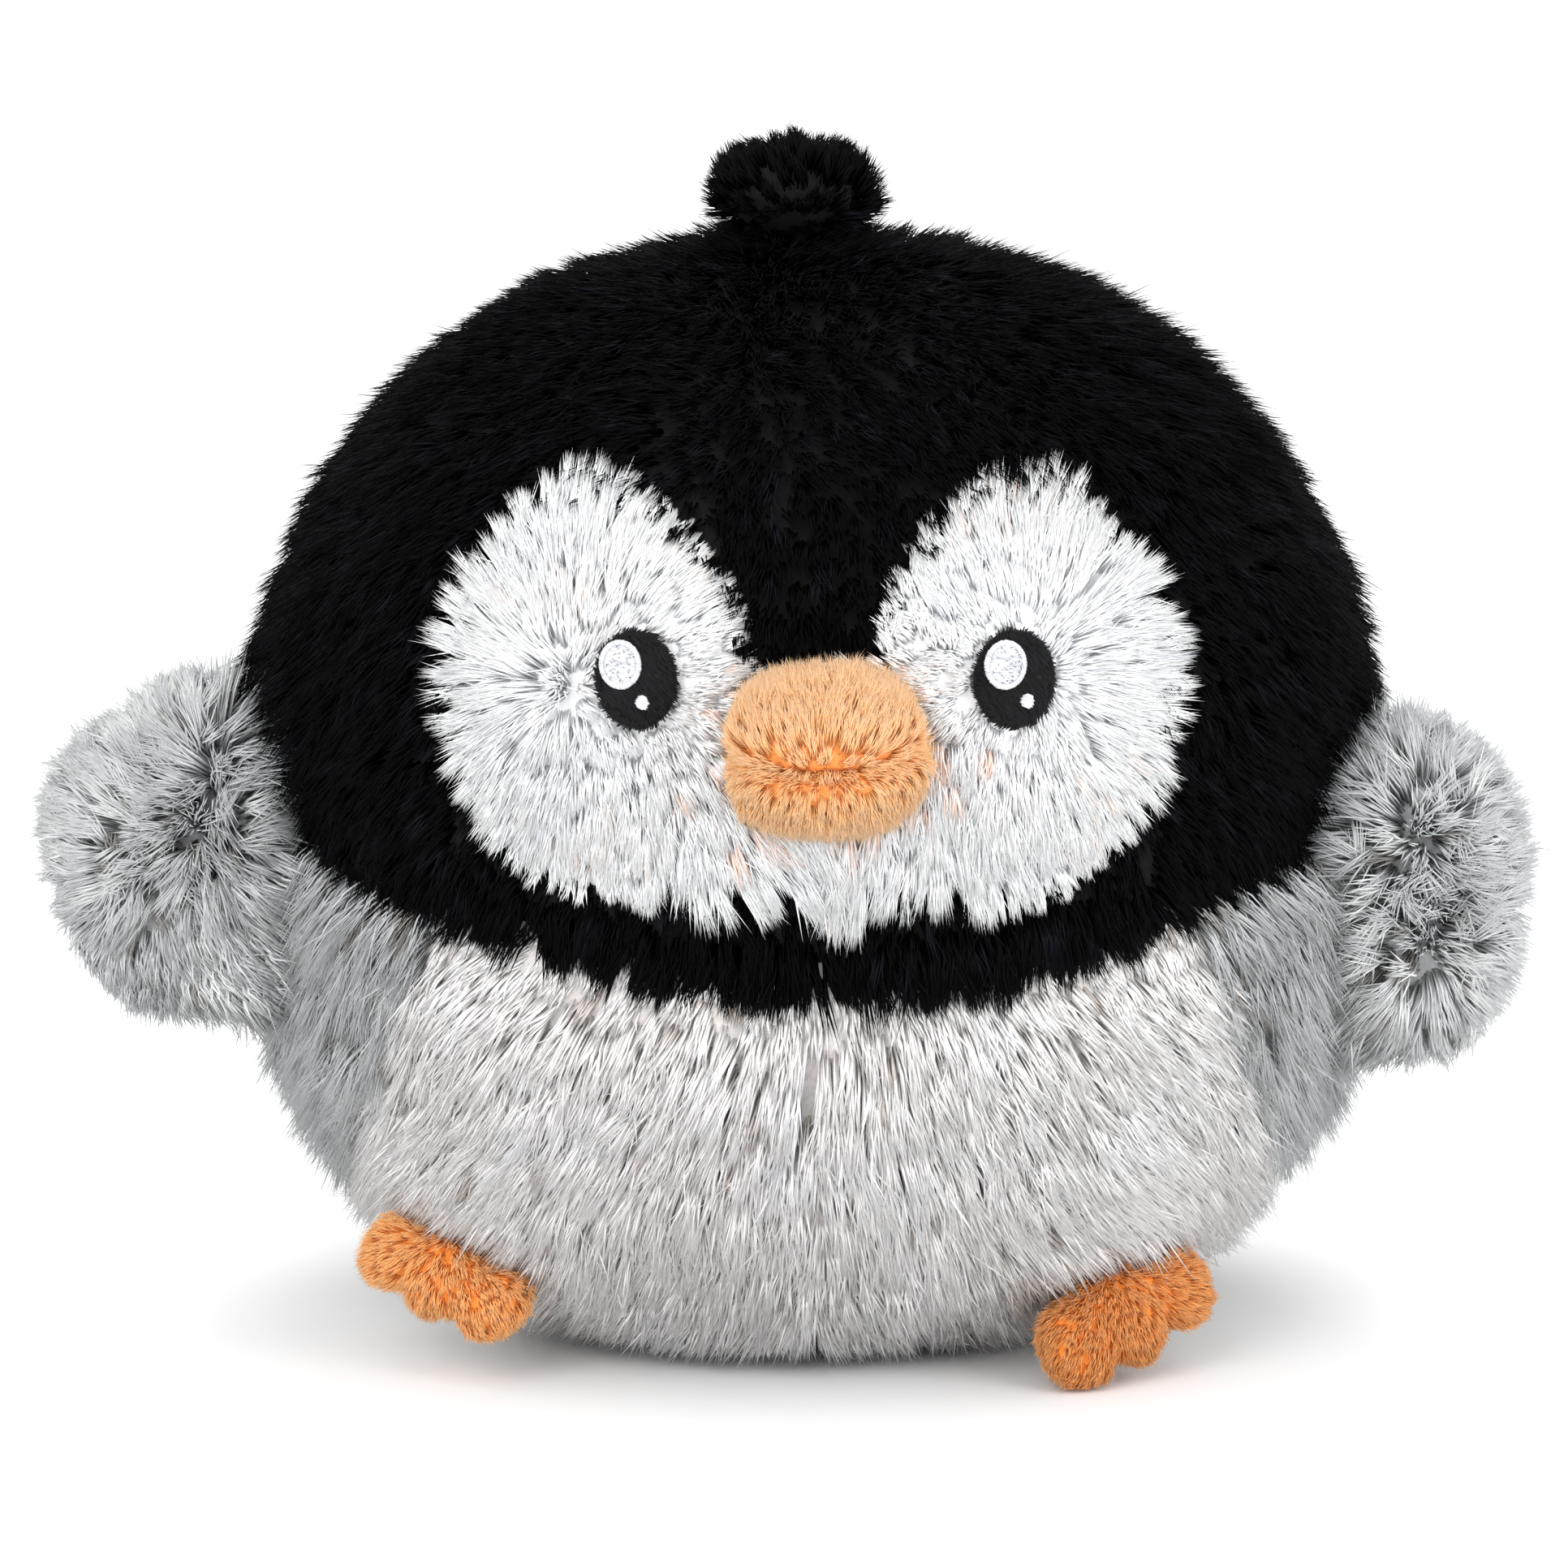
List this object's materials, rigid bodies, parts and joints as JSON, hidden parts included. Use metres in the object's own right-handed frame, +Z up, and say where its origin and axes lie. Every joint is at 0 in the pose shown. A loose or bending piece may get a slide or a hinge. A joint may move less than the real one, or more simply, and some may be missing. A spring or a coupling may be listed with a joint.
{
  "type": "plush penguin",
  "caption": "Round stuffed toy penguin with a dark hood, pale face and belly, soft beak, crest, two wings and two feet.",
  "frame": {"origin": "the middle of the flat patch under the ball that the penguin stands on", "axes": "+Z up, the penguin looks along -Y, +X is to the right as seen from its front; left and right in names are as seen from the front"},
  "size_m": [0.2499, 0.19, 0.197],
  "materials": {
    "black_pile": "dense short plush pile",
    "white_pile": "long silky plush pile",
    "light_grey_pile": "long combed plush pile",
    "grey_pile": "long plush pile",
    "orange_pile": "short soft pile",
    "beak_pile": "short soft pile",
    "black_embroidery": "satin stitch",
    "white_embroidery": "satin stitch",
    "orange_thread": "sewing thread",
    "grey_thread": "sewing thread",
    "label_satin": "plain woven satin",
    "fibre_fill": "loose polyester fibre"
  },
  "bodies": {
    "ball": {"hood_front_panel": "black_pile", "hood_back_left_panel": "black_pile", "hood_back_right_panel": "black_pile", "face_panel": "white_pile", "belly_panel": "light_grey_pile", "back_left_panel": "grey_pile", "back_right_panel": "grey_pile", "base_panel": "grey_pile", "body_stuffing": "fibre_fill", "beak_upper": "beak_pile", "beak_lower": "beak_pile", "beak_stuffing": "fibre_fill", "mouth_stitch": "orange_thread", "left_eye_patch": "black_embroidery", "left_eye_highlight": "white_embroidery", "left_eye_glint": "white_embroidery", "right_eye_patch": "black_embroidery", "right_eye_highlight": "white_embroidery", "right_eye_glint": "white_embroidery", "closing_stitch": "grey_thread", "care_label": "label_satin"},
    "crest": {"crest_front_panel": "black_pile", "crest_back_panel": "black_pile", "crest_stuffing": "fibre_fill"},
    "left_wing_hinge": {"left_wing_root": "grey_pile"},
    "left_wing": {"left_wing_front_panel": "grey_pile", "left_wing_back_panel": "grey_pile", "left_wing_stuffing": "fibre_fill"},
    "right_wing_hinge": {"right_wing_root": "grey_pile"},
    "right_wing": {"right_wing_front_panel": "grey_pile", "right_wing_back_panel": "grey_pile", "right_wing_stuffing": "fibre_fill"},
    "left_foot": {"left_foot_top_panel": "orange_pile", "left_foot_sole_panel": "orange_pile", "left_foot_stuffing": "fibre_fill"},
    "right_foot": {"right_foot_top_panel": "orange_pile", "right_foot_sole_panel": "orange_pile", "right_foot_stuffing": "fibre_fill"}
  },
  "joints": [
    {"name": "left_wing_swing", "type": "hinge", "parent": "ball", "child": "left_wing_hinge", "pos_m": [-0.0934, -0.01, 0.082], "axis": [0, 0, 1], "range_deg": [-55, 30], "stiffness_Nm_per_rad": 0.05},
    {"name": "left_wing_flap", "type": "hinge", "parent": "left_wing_hinge", "child": "left_wing", "pos_m": [-0.09842, -0.01135, 0.082], "axis": [-0.2588, 0.9659, 0], "range_deg": [-20, 30], "stiffness_Nm_per_rad": 0.05},
    {"name": "right_wing_swing", "type": "hinge", "parent": "ball", "child": "right_wing_hinge", "pos_m": [0.0934, -0.01, 0.082], "axis": [0, 0, -1], "range_deg": [-60, 25], "stiffness_Nm_per_rad": 0.05},
    {"name": "right_wing_flap", "type": "hinge", "parent": "right_wing_hinge", "child": "right_wing", "pos_m": [0.09829, -0.01178, 0.082], "axis": [-0.342, -0.9397, 0], "range_deg": [-5, 48], "stiffness_Nm_per_rad": 0.05},
    {"name": "left_foot_fold", "type": "hinge", "parent": "ball", "child": "left_foot", "pos_m": [-0.0571, -0.0469, 0.0227], "axis": [-0.7881, 0.5118, 0.342], "range_deg": [-20, 75], "stiffness_Nm_per_rad": 0.05},
    {"name": "right_foot_fold", "type": "hinge", "parent": "ball", "child": "right_foot", "pos_m": [0.0471, -0.0501, 0.0174], "axis": [-0.7881, -0.5118, -0.342], "range_deg": [-15, 75], "stiffness_Nm_per_rad": 0.05},
    {"name": "crest_flop", "type": "hinge", "parent": "ball", "child": "crest", "pos_m": [-0.002, -0.012, 0.181], "axis": [1, 0, 0], "range_deg": [-20, 20], "stiffness_Nm_per_rad": 0.03}
  ]
}
